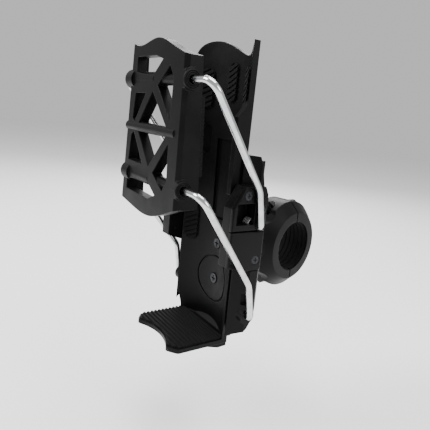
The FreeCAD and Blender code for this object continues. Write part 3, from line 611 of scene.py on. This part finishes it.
@dataclass
class Jaw(SubAssembly):
    """Lattice jaw with its caps and grommets."""

    body: Body = Body.JAW
    sleeve_mm: float = 6.0
    flange_mm: float = 1.0
    flange_radius_mm: float = 4.5
    bore_mm: tuple[float, float] = (1.86, 2.16)
    sleeve_radius_mm: tuple[float, float] = (2.78, 3.08)
    turn_deg: float = -12.0
    parts: dict[str, tuple[Finish, Slot]] = field(default_factory=lambda: {
        "jaw_frame": (NYLON, Slot.MOULDING),
        "jaw_pad_left": (PAD_RUBBER, Slot.RUBBER),
        "jaw_pad_right": (PAD_RUBBER, Slot.RUBBER),
    })

    def build(self) -> None:
        """Build the frame and caps, then the grommets."""
        super().build()
        for place, node in enumerate(("jaw_bushes_upper", "jaw_bushes_lower")):
            new_piece(f"{node}_grommets", lambda shape: self.grommets(shape, node, place), GROMMET, self.body,
                      [node])

    def grommets(self, shape: bmesh.types.BMesh, node: str, place: int) -> None:
        """Turn a pair of ribbed grommets where the node's bushes are.

        Args:
            shape: bmesh that gets them.
            node: CAD node of the pair.
            place: nought for the upper pair and one for the lower.
        """
        turn = math.radians(self.turn_deg)
        axis = Vector((math.cos(turn), math.sin(turn), 0.0))
        boxes = islands(self.frame["nodes"][node])
        centres = [(low + high) / 2 for low, high in boxes]
        middle = sum(centres, Vector()) / len(centres)
        length = (self.sleeve_mm + self.flange_mm) * MM
        for centre in centres:
            out = axis if (centre - middle).dot(axis) > 0 else -axis
            lathe(shape, self.ribbed_outline(place), centre - out * length / 2, out)

    def ribbed_outline(self, place: int) -> list[tuple[float, float]]:
        """Outline of a grommet: sleeve, then a flange with three rounded ridges.

        Args:
            place: nought for the upper pair and one for the lower.

        Returns:
            Points of (radius, distance along the axis), in metres.
        """
        bore, sleeve, rim = self.bore_mm[place], self.sleeve_radius_mm[place], self.flange_radius_mm
        foot, top = self.sleeve_mm, self.sleeve_mm + self.flange_mm
        points = [(bore, 0.0), (sleeve, 0.0), (sleeve, foot), (rim, foot), (rim, top - 0.5)]
        ridges, samples = 3, 10
        count = ridges * samples
        for i in range(count + 1):
            share = i / count
            radius = rim + (bore + 0.05 - rim) * share
            crest = abs(math.sin(math.pi * ridges * share)) ** 0.6
            points.append((radius, top - 0.5 + 0.5 * crest + 0.25 * share))
        points[-1] = (bore, top - 0.3)
        return [(radius * MM, along * MM) for radius, along in points]


# ---- studio --------------------------------------------------------------------------------
@dataclass
class Studio:
    """Pale floor, soft lights and the camera."""

    floor_z: float = -0.11
    floor_size: float = 6.0
    eye: tuple[float, float, float] = (0.1692, -0.2451, 0.0807)
    azimuth_deg: float = 42.87
    elevation_deg: float = 12.89
    roll_deg: float = 5.72
    lens_mm: float = 37.76

    def build(self) -> None:
        """Build the floor, lights and camera."""
        self.floor()
        self.lights()
        self.camera()

    def floor(self) -> None:
        """Wide pale floor under the object."""
        mesh = bpy.data.meshes.new("studio_floor")
        shape = bmesh.new()
        bmesh.ops.create_grid(shape, x_segments=1, y_segments=1, size=self.floor_size / 2,
                              matrix=Matrix.Translation((0, 0, self.floor_z)))
        shape.to_mesh(mesh)
        shape.free()
        floor = bpy.data.objects.new("studio_floor", mesh)
        bpy.context.scene.collection.objects.link(floor)
        paper = bpy.data.materials.new("studio_paper")
        paper.use_nodes = True
        shader = paper.node_tree.nodes["Principled BSDF"]
        shader.inputs["Base Color"].default_value = linear("fafafa")
        shader.inputs["Roughness"].default_value = 0.9
        floor.data.materials.append(paper)

    def lights(self) -> None:
        """Soft boxes to the left, right, above and behind, in a white room."""
        self.soft_box("key", (-0.55, -0.7, 0.7), 0.5, 13.0)
        self.soft_box("side", (0.85, 0.1, 0.45), 0.5, 5.0)
        self.soft_box("top", (0.1, 0.0, 1.1), 0.8, 15.0)
        self.soft_box("rim", (-0.6, 0.6, 0.5), 0.5, 5.0)
        world = bpy.data.worlds.new("white_room")
        world.use_nodes = True
        sky = world.node_tree.nodes["Background"]
        sky.inputs["Color"].default_value = (1.0, 1.0, 1.0, 1.0)
        sky.inputs["Strength"].default_value = 0.62
        bpy.context.scene.world = world

    def soft_box(self, name: str, place: tuple[float, float, float], size: float, watts: float) -> None:
        """Area light that faces the middle of the object.

        Args:
            name: name of the light.
            place: where it stands, in metres.
            size: side of the square, in metres.
            watts: power.
        """
        lamp = bpy.data.lights.new(name, "AREA")
        lamp.size = size
        lamp.energy = watts
        light = bpy.data.objects.new(name, lamp)
        light.location = place
        aim = Vector((0.0, -0.05, 0.03)) - Vector(place)
        light.rotation_euler = aim.to_track_quat("-Z", "Y").to_euler()
        bpy.context.scene.collection.objects.link(light)

    def camera(self) -> None:
        """Camera in front and to the right, a little above."""
        lens = bpy.data.cameras.new("camera")
        lens.lens = self.lens_mm
        lens.sensor_width = 36.0
        lens.clip_start = 0.01
        lens.clip_end = 50.0
        camera = bpy.data.objects.new("camera", lens)
        turn = Matrix.Rotation(math.radians(self.azimuth_deg), 4, "Z")
        tilt = Matrix.Rotation(math.radians(90.0 - self.elevation_deg), 4, "X")
        roll = Matrix.Rotation(math.radians(self.roll_deg), 4, "Z")
        camera.matrix_world = Matrix.Translation(self.eye) @ turn @ tilt @ roll
        bpy.context.scene.collection.objects.link(camera)
        bpy.context.scene.camera = camera


def main() -> None:
    logging.basicConfig(level=logging.INFO, format="%(name)s %(message)s")
    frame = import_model()
    for part in (HandlebarClamp(frame), BallStud(frame), Holder(frame), WireLink(frame, Body.UPPER_LINK),
                 WireLink(frame, Body.LOWER_LINK, node="lower_wire"), Jaw(frame)):
        part.build()
    Studio().build()


if __name__ == "__main__":
    main()
